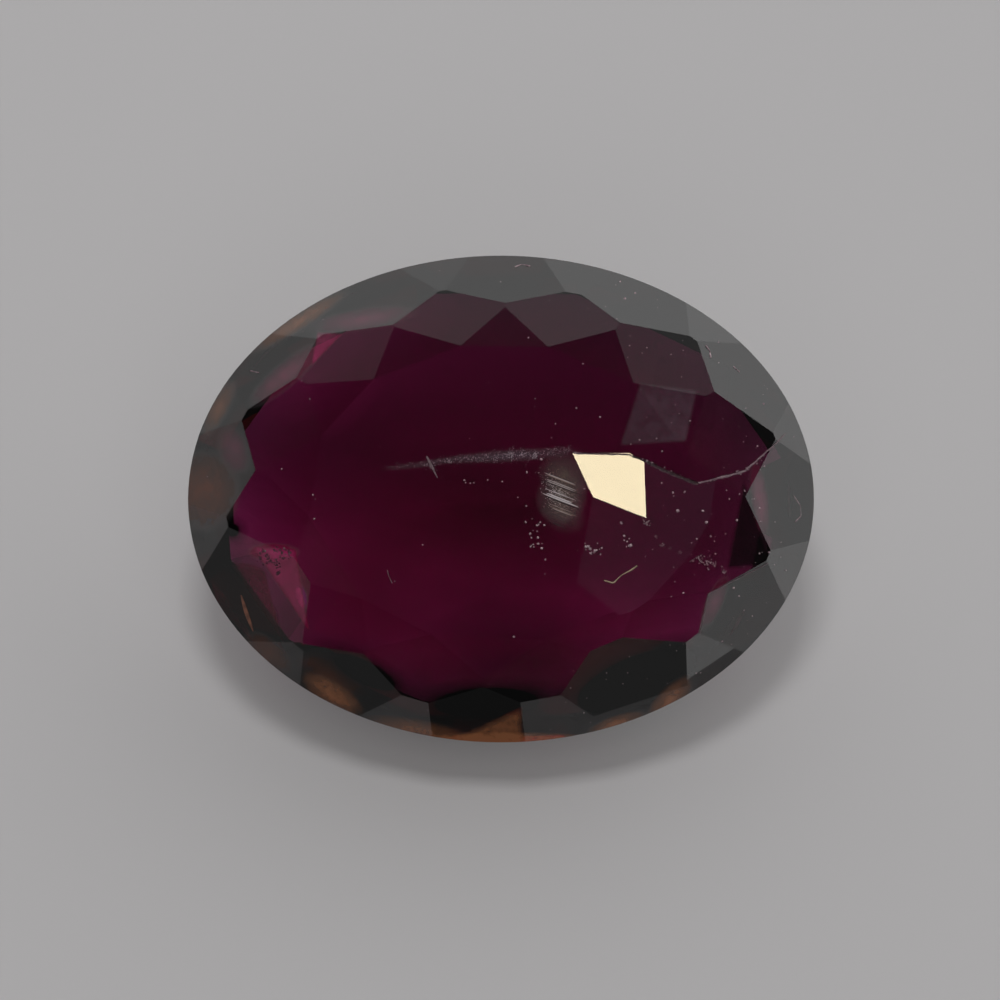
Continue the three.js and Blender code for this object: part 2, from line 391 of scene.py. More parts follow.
normal = add_node(tree, "ShaderNodeNewGeometry").outputs["True Normal"]
lean = add_node(
    tree, "ShaderNodeVectorMath", {0: normal, 1: tuple(out)}, operation="DOT_PRODUCT"
).outputs["Value"]
girdle = add_node(tree, "ShaderNodeMath", {0: lean, 1: 0.0, 2: GIRDLE_LEAN}, operation="COMPARE").outputs[0]
off_pavilion = add_node(
    tree, "ShaderNodeMath", {0: lean, 1: -GIRDLE_LEAN}, operation="GREATER_THAN"
).outputs[0]
patches = add_node(
    tree, "ShaderNodeTexNoise", {"Vector": place, "Scale": 1 / (SKIN_PATCH * MM), "Detail": 4.0}
).outputs["Fac"]
uneven = add_node(
    tree, "ShaderNodeMapRange", {"Value": patches, "From Min": 0.3, "From Max": 0.6, "To Min": 0.55}
).outputs["Result"]
skin = add_node(tree, "ShaderNodeMath", {0: off_pavilion, 1: uneven}, operation="MULTIPLY").outputs[0]

tint, clearness = painted_shading.outputs["Color"], 1.0
for kind, mask, strength in masks:
    colour, dull_share, gain = MARK_KINDS[kind]
    part = add_node(
        tree, "ShaderNodeMath", {0: mask, 1: strength}, operation="MULTIPLY", use_clamp=True
    ).outputs[0]
    if dull_share:
        part = add_node(tree, "ShaderNodeMath", {0: part, 1: skin}, operation="MULTIPLY").outputs[0]
        clearness = add_node(
            tree, "ShaderNodeMath", {0: part, 1: -dull_share, 2: clearness}, operation="MULTIPLY_ADD"
        ).outputs[0]
        part = add_node(
            tree, "ShaderNodeMath", {0: part, 1: gain}, operation="MULTIPLY", use_clamp=True
        ).outputs[0]
    tint = add_node(
        tree, "ShaderNodeMix", {"Factor": part, "A": tint, "B": linear(colour)}, data_type="RGBA"
    ).outputs["Result"]
print("nodes in the crystal so far:", len(tree.nodes))

# %% [markdown]
# ## Polish
# The facets are polished to a mirror. The girdle is made as if it were only ground: frosted and brown. That
# is a guess, because from above a thin girdle is seen edge on. So roughness, tint and transmission change
# at the girdle, and everything else is the same all over.

# %% Polished and ground surface
GRIT = 0.15  # mm, the size of the patches that the grinding wheel left, drawn coarser than real to show
GROUND_BROWNS = ("#7A3E34", "#A8744C")
GROUND_ROUGHNESS = (0.25, 0.5)
GROUND_DULL = 0.4  # share of the transmission that the frosting takes away
TOURMALINE_IOR = 1.63

grinding = add_node(
    tree, "ShaderNodeTexNoise", {"Vector": place, "Scale": 1 / (GRIT * MM), "Detail": 5.0}
).outputs["Fac"]
brown = add_node(
    tree,
    "ShaderNodeMix",
    {"Factor": grinding, "A": linear(GROUND_BROWNS[0]), "B": linear(GROUND_BROWNS[1])},
    data_type="RGBA",
).outputs["Result"]
surface_tint = add_node(
    tree, "ShaderNodeMix", {"Factor": girdle, "A": tint, "B": brown}, data_type="RGBA"
).outputs["Result"]
frosting = add_node(
    tree,
    "ShaderNodeMapRange",
    {
        "Value": grinding,
        "From Min": 0.3,
        "From Max": 0.7,
        "To Min": GROUND_ROUGHNESS[0],
        "To Max": GROUND_ROUGHNESS[1],
    },
).outputs["Result"]
roughness = add_node(tree, "ShaderNodeMath", {0: girdle, 1: frosting}, operation="MULTIPLY").outputs[0]
clearness = add_node(
    tree,
    "ShaderNodeMath",
    {0: girdle, 1: -GROUND_DULL, 2: clearness},
    operation="MULTIPLY_ADD",
    use_clamp=True,
).outputs[0]
polish = add_node(
    tree,
    "ShaderNodeBsdfPrincipled",
    {
        "Base Color": surface_tint,
        "Roughness": roughness,
        "IOR": TOURMALINE_IOR,
        "Transmission Weight": clearness,
    },
)
depths = add_node(
    tree, "ShaderNodeVolumeAbsorption", {"Color": ABSORPTION_COLOUR, "Density": ABSORPTION_PER_MM / MM}
)
tree.links.new(polish.outputs[0], output.inputs["Surface"])
tree.links.new(depths.outputs[0], output.inputs["Volume"])
stone.data.materials.append(crystal)
red_left = float(np.exp(-ABSORPTION_PER_MM * (1 - ABSORPTION_COLOUR[0]) * 4))
print("red left after 4 mm:", round(red_left, 3))

# %% [markdown]
# ## Flakes and strands
# All the pieces on the stone are made of two shapes. A flake is a thin closed spindle over an outline that
# lies on the facets: dust grains, crumbs, pits and the tiny gaps of the feather. A strand is a flattened
# tube carried along a path on the facets: lint, scratches, ridges and the rubbed edge of the crack. Places
# are in mm along and across the oval. The marks could be painted in the crystal's material instead, but
# real shapes stay sharp from close by and catch the light as the real ones do.

# %% Two shapes for all the marks


def add_piece(name, points_mm, faces, material):
    """One mesh of closed shapes from points in the stone's axes. It rides on the stone's body."""
    mesh = bpy.data.meshes.new(name)
    mesh.from_pydata(from_table(points_mm.reshape(-1, 3)), [], faces)
    mesh.materials.append(material)
    piece = bpy.data.objects.new(name, mesh)
    bpy.context.scene.collection.objects.link(piece)
    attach(piece, "root")
    print(name, "faces:", len(mesh.polygons))
    return piece


def outlines(places, radii, count, rng, stretch=1.0):
    """Irregular outlines: count corners round each place, each at the radius times 0.6 to 1.3.

    stretch makes them longer one way, by that factor, and then each is turned at random.
    """
    n = len(places)
    even = np.linspace(0, 2 * np.pi, count, endpoint=False)
    angle = even[None, :] + rng.uniform(-0.25, 0.25, (n, count))
    size = np.asarray(radii, float).reshape(-1, 1) * rng.uniform(0.6, 1.3, (n, count))
    x, y = size * np.cos(angle) * stretch, size * np.sin(angle)
    turn = rng.uniform(0, 2 * np.pi, (n, 1))
    turned = np.stack([x * np.cos(turn) - y * np.sin(turn), x * np.sin(turn) + y * np.cos(turn)], -1)
    return np.asarray(places, float)[:, None, :] + turned


def flakes(name, rings, thickness, material):
    """Thin spindles over outlines that lie on the facets: each ring gets a point above and one below.

    rings is flakes x corners x 2. The ring is lifted by a fifth of the thickness, and its top point by the
    whole of it.
    """
    n, count = rings.shape[:2]
    thickness = np.broadcast_to(np.asarray(thickness, float), n)
    centre = rings.mean(1)
    ring_height = surface_under(rings.reshape(-1, 2))[0].reshape(n, count)
    base = surface_under(centre)[0]
    ring = np.concatenate([rings, (ring_height + thickness[:, None] * 0.2)[..., None]], -1)
    top = np.concatenate([centre, (base + thickness)[:, None]], 1)
    bottom = np.concatenate([centre, (base - thickness * 0.2)[:, None]], 1)
    points = np.concatenate([ring, top[:, None], bottom[:, None]], 1)
    here = np.arange(count)
    after = (here + 1) % count
    upper_cap = np.stack([here, after, np.full(count, count)], 1)
    lower_cap = np.stack([after, here, np.full(count, count + 1)], 1)
    caps = np.concatenate([upper_cap, lower_cap])
    faces = (np.arange(n)[:, None, None] * (count + 2) + caps[None]).reshape(-1, 3)
    return add_piece(name, points, faces.tolist(), material)


def strands(name, paths, half_widths, material, flatness=0.5, sides=6, lift=0.0):
    """Flattened tubes along paths on the facets, closed by a point at each end.

    paths is strands x stations x 2, and half_widths strands x stations. At each station a ring of corners
    stands square to the path: half the width to the sides, and flatness times that up and down. lift raises
    the whole strand off the facet, in mm.
    """
    n, stations = paths.shape[:2]
    height, up = surface_under(paths.reshape(-1, 2))
    spine = np.concatenate([paths, height.reshape(n, stations, 1)], -1)
    up = up.reshape(n, stations, 3)
    spine = spine + up * (half_widths * flatness * 0.4 + lift)[..., None]
    ahead = np.gradient(spine, axis=1)
    aside = np.cross(up, ahead)
    aside /= np.maximum(np.linalg.norm(aside, axis=-1, keepdims=True), 1e-12)
    angle = np.linspace(0, 2 * np.pi, sides, endpoint=False)
    sideways, upright = np.cos(angle)[:, None], (np.sin(angle) * flatness)[:, None]
    round_spine = aside[:, :, None] * sideways + up[:, :, None] * upright
    rings = spine[:, :, None] + round_spine * half_widths[..., None, None]
    points = np.concatenate([rings.reshape(n, -1, 3), spine[:, :1], spine[:, -1:]], 1)
    ring, side = np.meshgrid(np.arange(stations - 1), np.arange(sides), indexing="ij")
    here, after = ring * sides + side, ring * sides + (side + 1) % sides
    walls = np.stack([here, here + sides, after + sides, after], -1).reshape(-1, 4)
    walls = np.concatenate([walls[:, [0, 1, 2]], walls[:, [0, 2, 3]]])
    turn, last = np.arange(sides), (stations - 1) * sides
    first_cap = np.stack([turn, (turn + 1) % sides, np.full(sides, stations * sides)], 1)
    last_tip = np.full(sides, stations * sides + 1)
    last_cap = np.stack([last + (turn + 1) % sides, last + turn, last_tip], 1)
    faces = np.concatenate([walls, first_cap, last_cap])
    faces = (np.arange(n)[:, None, None] * (stations * sides + 2) + faces[None]).reshape(-1, 3)
    return add_piece(name, points, faces.tolist(), material)


def path_through(knots, stations):
    """A path of evenly spaced stations along straight lines through the knots."""
    knots = np.asarray(knots, float)
    run = np.concatenate([[0], np.cumsum(np.linalg.norm(np.diff(knots, axis=0), axis=1))])
    even = np.linspace(0, run[-1], stations)
    return np.stack([np.interp(even, run, knots[:, 0]), np.interp(even, run, knots[:, 1])], -1)


def dull(name, light, dark, grain_mm, roughness):
    """A dull material for small marks, clouded between two colours. The clouds are about grain_mm across."""
    material, tree, output = new_material(name)
    place = add_node(tree, "ShaderNodeTexCoord").outputs["Object"]
    clouds = add_node(
        tree, "ShaderNodeTexNoise", {"Vector": place, "Scale": 1 / (grain_mm * MM), "Detail": 3.0}
    )
    spread = add_node(
        tree, "ShaderNodeMapRange", {"Value": clouds.outputs["Fac"], "From Min": 0.35, "From Max": 0.65}
    )
    colour = add_node(
        tree,
        "ShaderNodeMix",
        {"Factor": spread.outputs["Result"], "A": linear(dark), "B": linear(light)},
        data_type="RGBA",
    )
    surface = add_node(
        tree, "ShaderNodeBsdfPrincipled", {"Base Color": colour.outputs["Result"], "Roughness": roughness}
    )
    tree.links.new(surface.outputs[0], output.inputs["Surface"])
    return material


# %% [markdown]
# ## The feather
# A crack crosses the table. On its left half it lies just under the polish and shows as a milky band, thin
# on the left and thickest near the scar, with a few brighter knots. The soft milk in the crystal gives the
# band, and hundreds of tiny flat gaps in it are flakes, spread along a line by a share of their number and
# across it by a normal law. One smooth sheet would look too even.

# %% Feather
FEATHER = np.array([  # mm along and across, half thickness, share of the gaps up to there
    (-1.67, 0.46, 0.040, 0.00), (-1.14, 0.496, 0.055, 0.05), (-0.80, 0.56, 0.055, 0.13),
    (-0.23, 0.604, 0.070, 0.36), (0.13, 0.62, 0.090, 0.58), (0.49, 0.645, 0.090, 0.80),
    (0.85, 0.70, 0.055, 0.94), (1.02, 0.705, 0.045, 1.00),
])
FEATHER_GAPS = 700
MILKY_KNOTS = np.array([(0.14, 0.645), (0.475, 0.62), (0.30, 0.64), (-0.98, 0.45)])
GAPS_IN_KNOTS = [70, 60, 25, 40]
KNOT_SPREAD = (0.022, 0.03)
GAP_RADII = (0.002, 0.006)
GAP_THICKNESS = 0.001

# A healed crack: tiny air gaps that scatter light, so it is milky with a tinge of the crystal.
healed_crack = dull("healed_crack", "#B8A8B0", "#86747E", 0.02, 0.6)
rng = np.random.default_rng(11)
share = rng.uniform(0, 1, FEATHER_GAPS)
along_line, across_line, half = (np.interp(share, FEATHER[:, 3], FEATHER[:, i]) for i in range(3))
gaps = np.stack([along_line, across_line + half * rng.normal(-0.1, 0.55, FEATHER_GAPS)], -1)
knotted = np.repeat(MILKY_KNOTS, GAPS_IN_KNOTS, 0)
gaps = np.concatenate([gaps, knotted + rng.normal(0, 1, knotted.shape) * KNOT_SPREAD])
gap_outlines = outlines(gaps, rng.uniform(*GAP_RADII, len(gaps)), 4, rng, 1.4)
flakes("feather", gap_outlines, GAP_THICKNESS, healed_crack)

# %% [markdown]
# A short needle crosses the feather's left end. One strand that tapers to both ends is enough for it.

# %% Needle
NEEDLE = [(-1.06, 0.61), (-0.985, 0.46), (-0.905, 0.30)]
# Ground tourmaline: crushed crystal along a worn edge, a dull grey pink.
ground_crystal = dull("ground_tourmaline", "#8C767C", "#5E4A52", 0.03, 0.6)
needle_width = np.interp(np.arange(12), [0, 4, 11], [0.010, 0.020, 0.006])
strands("needle", path_through(NEEDLE, 12)[None], needle_width[None], ground_crystal, 0.3)

# %% [markdown]
# ## Striae beside the scar
# Between the feather and the scar, the crack has left a small lens of fine parallel ridges that catch the
# light, from white to tan, with dark gaps between some of them. Each ridge and each dark gap is a strand. A
# veil of tiny flakes lies between them. Each shape's own shade is kept in an attribute, which the material
# reads.

# %% Ridges
RIDGES = 11
LENS = np.array([0.85, 0.06])  # its middle, in mm along and across
ALONG_RIDGE = np.array([0.93, -0.36])
RIDGE_STATIONS = 14
RIDGE_TAN, RIDGE_GLINT_WHITE = "#7A5E48", "#EDE4E8"

# A ridged fracture: fresh faces of the crystal in tan, with painted highlight that takes them up to nearly
# white.
fracture_and_glint, tree, output = new_material("fracture_and_glint")
shade = add_node(tree, "ShaderNodeAttribute", attribute_name="shade").outputs["Fac"]
silver = add_node(
    tree,
    "ShaderNodeMix",
    {"Factor": shade, "A": linear(RIDGE_TAN), "B": linear(RIDGE_GLINT_WHITE)},
    data_type="RGBA",
).outputs["Result"]
surface = add_node(tree, "ShaderNodeBsdfPrincipled", {"Base Color": silver, "Roughness": 0.45})
tree.links.new(surface.outputs[0], output.inputs["Surface"])


def give_shade(piece, values):
    """Keeps one shade per repeated shape in the attribute that the ridges' material reads."""
    attribute = piece.data.attributes.new("shade", "FLOAT", "POINT")
    attribute.data.foreach_set("value", np.repeat(values, len(piece.data.vertices) // len(values)))


step = np.sort(rng.uniform(-0.75, 0.8, RIDGES))  # from -1 at the top of the lens to 1 at its lower end
half_length = 0.30 * np.sqrt(1 - step**2 * 0.8) * rng.uniform(0.6, 1.0, RIDGES)
down_the_lens = LENS + np.stack([0.05 * step, -0.40 * step], -1)
ridge_middle = down_the_lens + rng.normal(0, 0.03, (RIDGES, 1)) * ALONG_RIDGE
station = np.linspace(-1, 1, RIDGE_STATIONS)
ridge_paths = ridge_middle[:, None] + (half_length[:, None] * station)[..., None] * ALONG_RIDGE
taper = np.sqrt(np.maximum(1 - station**2, 0.02))
widths = (rng.lognormal(np.log(0.0062), 0.4, RIDGES) * (1 - 0.5 * step**2))[:, None] * taper
ridges = strands("striae", ridge_paths, widths, fracture_and_glint, 0.3)
give_shade(ridges, np.clip(0.75 - 0.8 * np.abs(step + 0.05) + rng.normal(0, 0.15, RIDGES), 0, 1))

# %% [markdown]
# The dark gaps are lifted a little, so that the ridges don't hide them. The veil's flakes are spread round
# the middle of the lens by a normal law, and they are darker away from it.

# %% Dark gaps and veil
DARK_GAPS = [
    [(0.56, 0.28), (1.165, 0.05)], [(0.62, 0.05), (1.136, -0.158)], [(0.69, -0.316), (0.92, -0.417)],
]
VEIL_GRAINS = 800

# The inside of a crack: no light comes back out of it, so it is nearly black.
crack_shadow = dull("crack_shadow", "#34141E", "#1E0A12", 0.03, 0.6)
dark_paths = np.stack([path_through(ends, RIDGE_STATIONS) for ends in DARK_GAPS])
dark_widths = np.tile(0.007 * taper, (len(DARK_GAPS), 1))
strands("striae_gaps", dark_paths, dark_widths, crack_shadow, 0.3, lift=0.002)

spread = rng.normal(0, 1, (VEIL_GRAINS, 2))
veil_places = LENS + spread[:, :1] * 0.13 * ALONG_RIDGE + spread[:, 1:] * 0.17 * np.array([0.12, -0.99])
veil_outlines = outlines(veil_places, rng.uniform(*GAP_RADII, VEIL_GRAINS), 4, rng, 1.4)
veil = flakes("striae_haze", veil_outlines, GAP_THICKNESS, fracture_and_glint)
give_shade(veil, np.clip(0.6 - 0.35 * np.abs(spread[:, 1]) - 0.15 * spread[:, 0], 0, 1))

# %% [markdown]
# ## The crack's rubbed edge
# From the feather's right end the crack runs on at the surface, along the scar and out to the rim, and its
# edge is rubbed pale. It is one strand of uneven width with chips along it. Two facet edges at the lower
# right are rubbed in the same way, but finer.

# %% Crack edge
CRACK_LINE = [
    (1.03, 0.655), (1.80, 0.635), (2.04, 0.555), (2.34, 0.40), (2.79, 0.22), (3.25, 0.33), (3.48, 0.40),
    (3.62, 0.52), (3.95, 0.81), (4.08, 0.94),
]
CRACK_STATIONS = 342
CRACK_WEAR = (  # stations, and how far the edge is worn there
    [0, 95, 125, 180, 195, 220, 259, 341],
    [0.75, 0.8, 1.5, 1.5, 0.6, 0.9, 0.7, 0.4],
)
CRACK_HALF_WIDTH = 0.026
CHIPS = 70
EDGE_LIFT = 0.004

crack = path_through(CRACK_LINE, CRACK_STATIONS)
crack = crack + rng.normal(0, 0.004, crack.shape)
wear = np.convolve(rng.uniform(0.3, 1.0, CRACK_STATIONS), np.ones(5) / 5, "same")
wear = wear * np.interp(np.arange(CRACK_STATIONS), *CRACK_WEAR)
strands("crack_edge", crack[None], (CRACK_HALF_WIDTH * wear)[None], ground_crystal, 0.25, lift=EDGE_LIFT)
chipped = crack[rng.integers(100, 300, CHIPS)] + rng.normal(0, 0.02, (CHIPS, 2))
flakes("crack_chips", outlines(chipped, rng.uniform(0.004, 0.014, CHIPS), 5, rng), 0.002, ground_crystal)

# %% [markdown]
# The two facet edges at the lower right are one strand too. Its width is a running average of random
# widths, so it is uneven but has no jumps.

# %% Rubbed facet edge
FACET_EDGE = [(3.825, -0.92), (2.96, -1.35), (2.85, -1.93)]
EDGE_STATIONS = 120
facet_edge = path_through(FACET_EDGE, EDGE_STATIONS)
edge_width = 0.010 * np.convolve(rng.uniform(0.2, 1.0, EDGE_STATIONS), np.ones(7) / 7, "same")
strands("rubbed_edge", facet_edge[None], edge_width[None], ground_crystal, 0.25, lift=EDGE_LIFT)

# %% [markdown]
# ## Nicks
# Nicks follow the edge between two of the scar's faces. Each is a small heap of crumbs round its place, so
# that it looks crushed and not cut.

# %% Nicks
NICKS = np.array([  # mm along and across, size
    (2.08, -0.34, 0.045), (2.21, -0.53, 0.02), (2.29, -0.66, 0.034), (2.55, -0.76, 0.02),
    (2.72, -0.88, 0.022), (2.84, -0.85, 0.05), (2.95, -0.89, 0.055), (3.05, -0.94, 0.03),
    (3.18, -1.02, 0.035), (2.41, -0.70, 0.014),
])
CRUMBS_IN_NICK = 18

# A bruised edge: crushed crystal, a little paler than the ground edge.
bruised_edge = dull("bruised_edge", "#A08A8E", "#6E5A60", 0.02, 0.6)
crumbs = np.repeat(NICKS, CRUMBS_IN_NICK, 0)
crumb_places = crumbs[:, :2] + rng.normal(0, 0.65, (len(crumbs), 2)) * crumbs[:, 2:]
crumb_radii = crumbs[:, 2] * rng.uniform(0.08, 0.3, len(crumbs))
flakes("nicks", outlines(crumb_places, crumb_radii, 6, rng), 0.003, bruised_edge)

# %% [markdown]
# ## Pits in the dull patch
# Small dark pits lie along the top edge of the pink patch, with a few bright points. Each pit is a ring of
# small dark flakes, spread a little so that its rim is broken.

# %% Pits
PITS = np.array([  # mm along and across, half axes, number of grains
    (-3.39, -0.83, 0.060, 0.085, 46), (-3.08, -0.79, 0.075, 0.055, 42), (-3.19, -0.98, 0.020, 0.080, 24),
    (-3.26, -0.90, 0.045, 0.012, 14), (-3.20, -0.72, 0.060, 0.020, 12),
])
BRIGHT_POINTS = np.array([(-3.02, -0.775), (-3.10, -0.70), (-3.37, -0.74)])
BRIGHT_RADII = [0.022, 0.014, 0.016]

# The shaded inside of a pit: the patch's own pink, but dark.
pit_shadow = dull("pit_shadow", "#5E3446", "#2A141E", 0.03, 0.8)
pit_of_grain = np.repeat(PITS, PITS[:, 4].astype(int), 0)
turn = rng.uniform(0, 2 * np.pi, len(pit_of_grain))
rim = np.stack([np.cos(turn), np.sin(turn)], -1) * pit_of_grain[:, 2:4]
pit_grains = pit_of_grain[:, :2] + rim + rng.normal(0, 0.016, rim.shape)
flakes("pits", outlines(pit_grains, rng.uniform(0.006, 0.016, len(rim)), 5, rng, 1.3), 0.002, pit_shadow)
flakes("pit_sparkles", outlines(BRIGHT_POINTS, BRIGHT_RADII, 6, rng), 0.003, ground_crystal)

# %% [markdown]
# ## Dust
# The stone has been handled: grains of dust lie on it, most of them on its right half. The larger ones have
# their own places, some lie in heaps, and the rest are scattered over the oval with a seed.

# %% Large dust
LARGE_DUST = [  # mm along and across, size
    (1.27, -0.71, 0.05), (1.21, -0.68, 0.03), (1.33, -0.75, 0.03), (1.84, -0.66, 0.045),
    (1.71, -0.34, 0.035), (2.52, -0.17, 0.035), (2.88, -0.17, 0.032), (2.93, -0.33, 0.035),
    (2.99, -0.53, 0.022), (3.06, -0.78, 0.022), (2.29, 0.23, 0.022), (2.45, 0.09, 0.025),
    (2.62, 0.10, 0.028), (3.26, 0.0, 0.022), (3.37, -0.30, 0.03), (3.67, 0.76, 0.02),
    (3.77, 0.47, 0.02), (3.70, -0.13, 0.022), (3.70, -0.78, 0.026), (3.84, -0.76, 0.026),
    (3.33, -1.27, 0.03), (3.41, -1.39, 0.022), (2.60, -1.34, 0.022), (2.48, -1.18, 0.018),
    (0.36, -0.10, 0.022), (0.02, 0.25, 0.02), (-0.19, 0.27, 0.02), (0.37, 0.38, 0.026),
    (0.53, -0.55, 0.03), (0.58, -0.70, 0.026), (0.42, -0.68, 0.024), (0.63, -0.86, 0.024),
    (-2.68, 0.06, 0.02), (-3.13, 0.43, 0.02), (-2.66, -0.28, 0.02),
]
HEAPS = np.array([  # mm along and across, spread
    (1.27, -0.71, 0.07, 0.04), (0.50, -0.50, 0.07, 0.16), (1.80, -0.62, 0.06, 0.06),
    (-0.48, 0.25, 0.06, 0.02),
])
GRAINS_IN_HEAPS = [16, 16, 7, 4]

# House dust: skin and lint crumbs, dull and pale, with a tinge of the stone under them.
house_dust = dull("house_dust", "#CDB8BC", "#866A74", 0.05, 0.85)
heaped = np.repeat(HEAPS, GRAINS_IN_HEAPS, 0)
heaped_places = heaped[:, :2] + rng.normal(0, 1, (len(heaped), 2)) * heaped[:, 2:]
heaped = np.column_stack([heaped_places, rng.uniform(0.012, 0.03, len(heaped))])
large = np.concatenate([LARGE_DUST, heaped])
flakes("large_dust", outlines(large[:, :2], large[:, 2] * 0.62, 6, rng), large[:, 2] * 0.5, house_dust)

# %% [markdown]
# Fine dust is first spread evenly over the oval: the square root of an even draw gives the distance from
# its middle. Each grain is then kept by chance, and the chance is better on the right.

# %% Fine dust
SCATTERED = 800
DUSTY_OVAL = (4.4, 3.42)  # half axes in mm, just inside the girdle
radius = np.sqrt(rng.uniform(0, 1, SCATTERED))
angle = rng.uniform(0, 2 * np.pi, SCATTERED)
scattered = np.stack([radius * np.cos(angle), radius * np.sin(angle)], -1) * DUSTY_OVAL
likely = np.clip(0.12 + 0.17 * scattered[:, 0], 0.06, 1.0)  # more on the right
kept = rng.uniform(0, 1, SCATTERED) < likely
scattered = scattered[kept]
grain = rng.lognormal(np.log(0.0068), 0.4, len(scattered))
flakes("fine_dust", outlines(scattered, grain, 5, rng), grain * 0.6, house_dust)

# %% [markdown]
# ## Lint
# A pale fibre, a few white hairs and short dashes of lint lie across the facets, and there is one light
# scratch. Each is a thin strand along a few knots, with its corners rounded.

# %% Lint
# Cotton lint: a dull, creamy fibre.
cotton_lint = dull("cotton_lint", "#C8B998", "#8E7F68", 0.08, 0.75)


def hair(name, knots, half_width, material, stations=40):
    """One thin strand along knots, whose corners are rounded.

    Twice, each station moves to the average of itself and its two neighbours.
    """
    path = path_through(knots, stations)
    for _ in range(2):
        path[1:-1] = (path[:-2] + path[1:-1] + path[2:]) / 3
    width = half_width * (0.7 + 0.3 * np.sin(np.linspace(0, 9, stations)))
    return strands(name, path[None], width[None], material, 0.8)


FIBRE = [(1.47, -1.16), (1.60, -1.20), (1.71, -1.09), (1.86, -1.01), (1.94, -0.95)]
hair("fibre", FIBRE, 0.012, cotton_lint)
hair("hair_right", [(4.20, 0.05), (4.30, -0.10), (4.31, -0.24), (4.22, -0.33)], 0.007, house_dust)
hair("lint_top", [(0.20, 3.33), (0.30, 3.37), (0.42, 3.34)], 0.012, house_dust)
hair("lint_upper_right", [(2.93, 2.20), (2.99, 2.12), (3.00, 2.02)], 0.013, house_dust)
hair("lint_right", [(3.33, 1.90), (3.42, 1.82)], 0.01, house_dust)
hair("lint_left", [(-3.60, 1.84), (-3.47, 1.81)], 0.009, house_dust)
hair("scratch", [(-1.62, -1.01), (-1.60, -1.10), (-1.55, -1.20)], 0.006, ground_crystal)

# %% [markdown]
# ## A brown streak
# One stain near the girdle is a narrow streak with a clear edge, so it is a flat strand.

# %% Stain streak
STREAK = [(-3.73, -1.38), (-3.66, -1.62), (-3.56, -1.90)]
STREAK_STATIONS = 24
# Taken for an iron stain: a dull brown.
iron_stain = dull("iron_stain", "#8E5C48", "#6A4438", 0.06, 0.6)
streak_width = 0.034 * np.sin(np.linspace(0.25, 2.9, STREAK_STATIONS))
strands("stain_streak", path_through(STREAK, STREAK_STATIONS)[None], streak_width[None], iron_stain, 0.1)

# %% [markdown]
# ## The studio
# The stone lies on a sheet of pale grey paper, which lets a little light through. The sheet is one large
# square. It is diffuse with a small translucent share.

# %% Floor
FLOOR_HALF = 200 * MM
FLOOR_DROP = 0.01 * MM  # just under the facet that the stone lies on, so that the two never share a plane
FLOOR_GLOW = 0.09  # share of the light that comes through the sheet from below
floor_mesh = bpy.data.meshes.new("floor")
square = [(-1, -1), (1, -1), (1, 1), (-1, 1)]
floor_corners = [(x * FLOOR_HALF, y * FLOOR_HALF, -FLOOR_DROP) for x, y in square]
floor_mesh.from_pydata(floor_corners, [], [(0, 1, 2, 3)])
floor = bpy.data.objects.new("floor", floor_mesh)
bpy.context.scene.collection.objects.link(floor)
# Pale grey paper: an even, dull ground with no gloss.
paper, tree, output = new_material("pale_grey_paper")
pale_grey = linear("#D3D1D2")
sheet_face = add_node(
    tree, "ShaderNodeBsdfPrincipled", {"Base Color": pale_grey, "Roughness": 0.9, "Specular IOR Level": 0.1}
)
glow = add_node(tree, "ShaderNodeBsdfTranslucent", {"Color": pale_grey})
sheet = add_node(tree, "ShaderNodeMixShader", {0: FLOOR_GLOW, 1: sheet_face.outputs[0], 2: glow.outputs[0]})
tree.links.new(sheet.outputs[0], output.inputs["Surface"])
floor_mesh.materials.append(paper)
print("floor in mm:", round(2 * FLOOR_HALF / MM))

# %% [markdown]
# ## The tent
# A polished stone shows what is round it, so the light comes from a soft tent all round. Its brightness
# depends on the angle from the table's axis: dark near it, where the viewer stands, then a dim ring, a
# second dark band, and brighter and brighter towards the sides and below. It is brighter on the far side
# than on the near one, and on the right than on the left, and its folds make it a little uneven.

# %% Tent
TENT = [  # degrees from the table's axis, radiance
    (0, 0.03), (13, 0.03), (16, 0.5), (31, 0.5), (34, 0.03), (52, 0.03), (60, 0.06), (66, 0.28), (71, 0.43),
    (90, 1.08), (180, 1.3),
]
FAR_SIDE_LIFT = np.radians(10)  # the far side is taken as this much further from the axis
MIDDLE_STRENGTH, RIGHT_STRENGTH, FOLD_STRENGTH = 0.72, 0.45, 0.56
FOLD_SCALE = 2.6

world = bpy.data.worlds.new("light_tent")
bpy.context.scene.world = world
world.use_nodes = True
tree = world.node_tree
tree.nodes.clear()
direction = add_node(tree, "ShaderNodeTexCoord").outputs["Generated"]
rightward, farward, outward = (
    add_node(
        tree, "ShaderNodeVectorMath", {0: direction, 1: tuple(axis)}, operation="DOT_PRODUCT"
    ).outputs["Value"]
    for axis in stone_axes
)
angle = add_node(tree, "ShaderNodeMath", {0: outward}, operation="ARCCOSINE").outputs[0]
lifted = add_node(
    tree, "ShaderNodeMath", {0: farward, 1: FAR_SIDE_LIFT, 2: angle}, operation="MULTIPLY_ADD"
).outputs[0]
share = add_node(tree, "ShaderNodeMath", {0: lifted, 1: np.pi}, operation="DIVIDE").outputs[0]
ramp = add_node(tree, "ShaderNodeValToRGB", {"Fac": share})
set_ramp(ramp, [(degrees / 180, (grey, grey, grey, 1)) for degrees, grey in TENT])
balance = add_node(
    tree, "ShaderNodeMath", {0: rightward, 1: RIGHT_STRENGTH, 2: MIDDLE_STRENGTH}, operation="MULTIPLY_ADD"
).outputs[0]
folds = add_node(
    tree, "ShaderNodeTexNoise", {"Vector": direction, "Scale": FOLD_SCALE, "Detail": 2.0}
).outputs["Fac"]
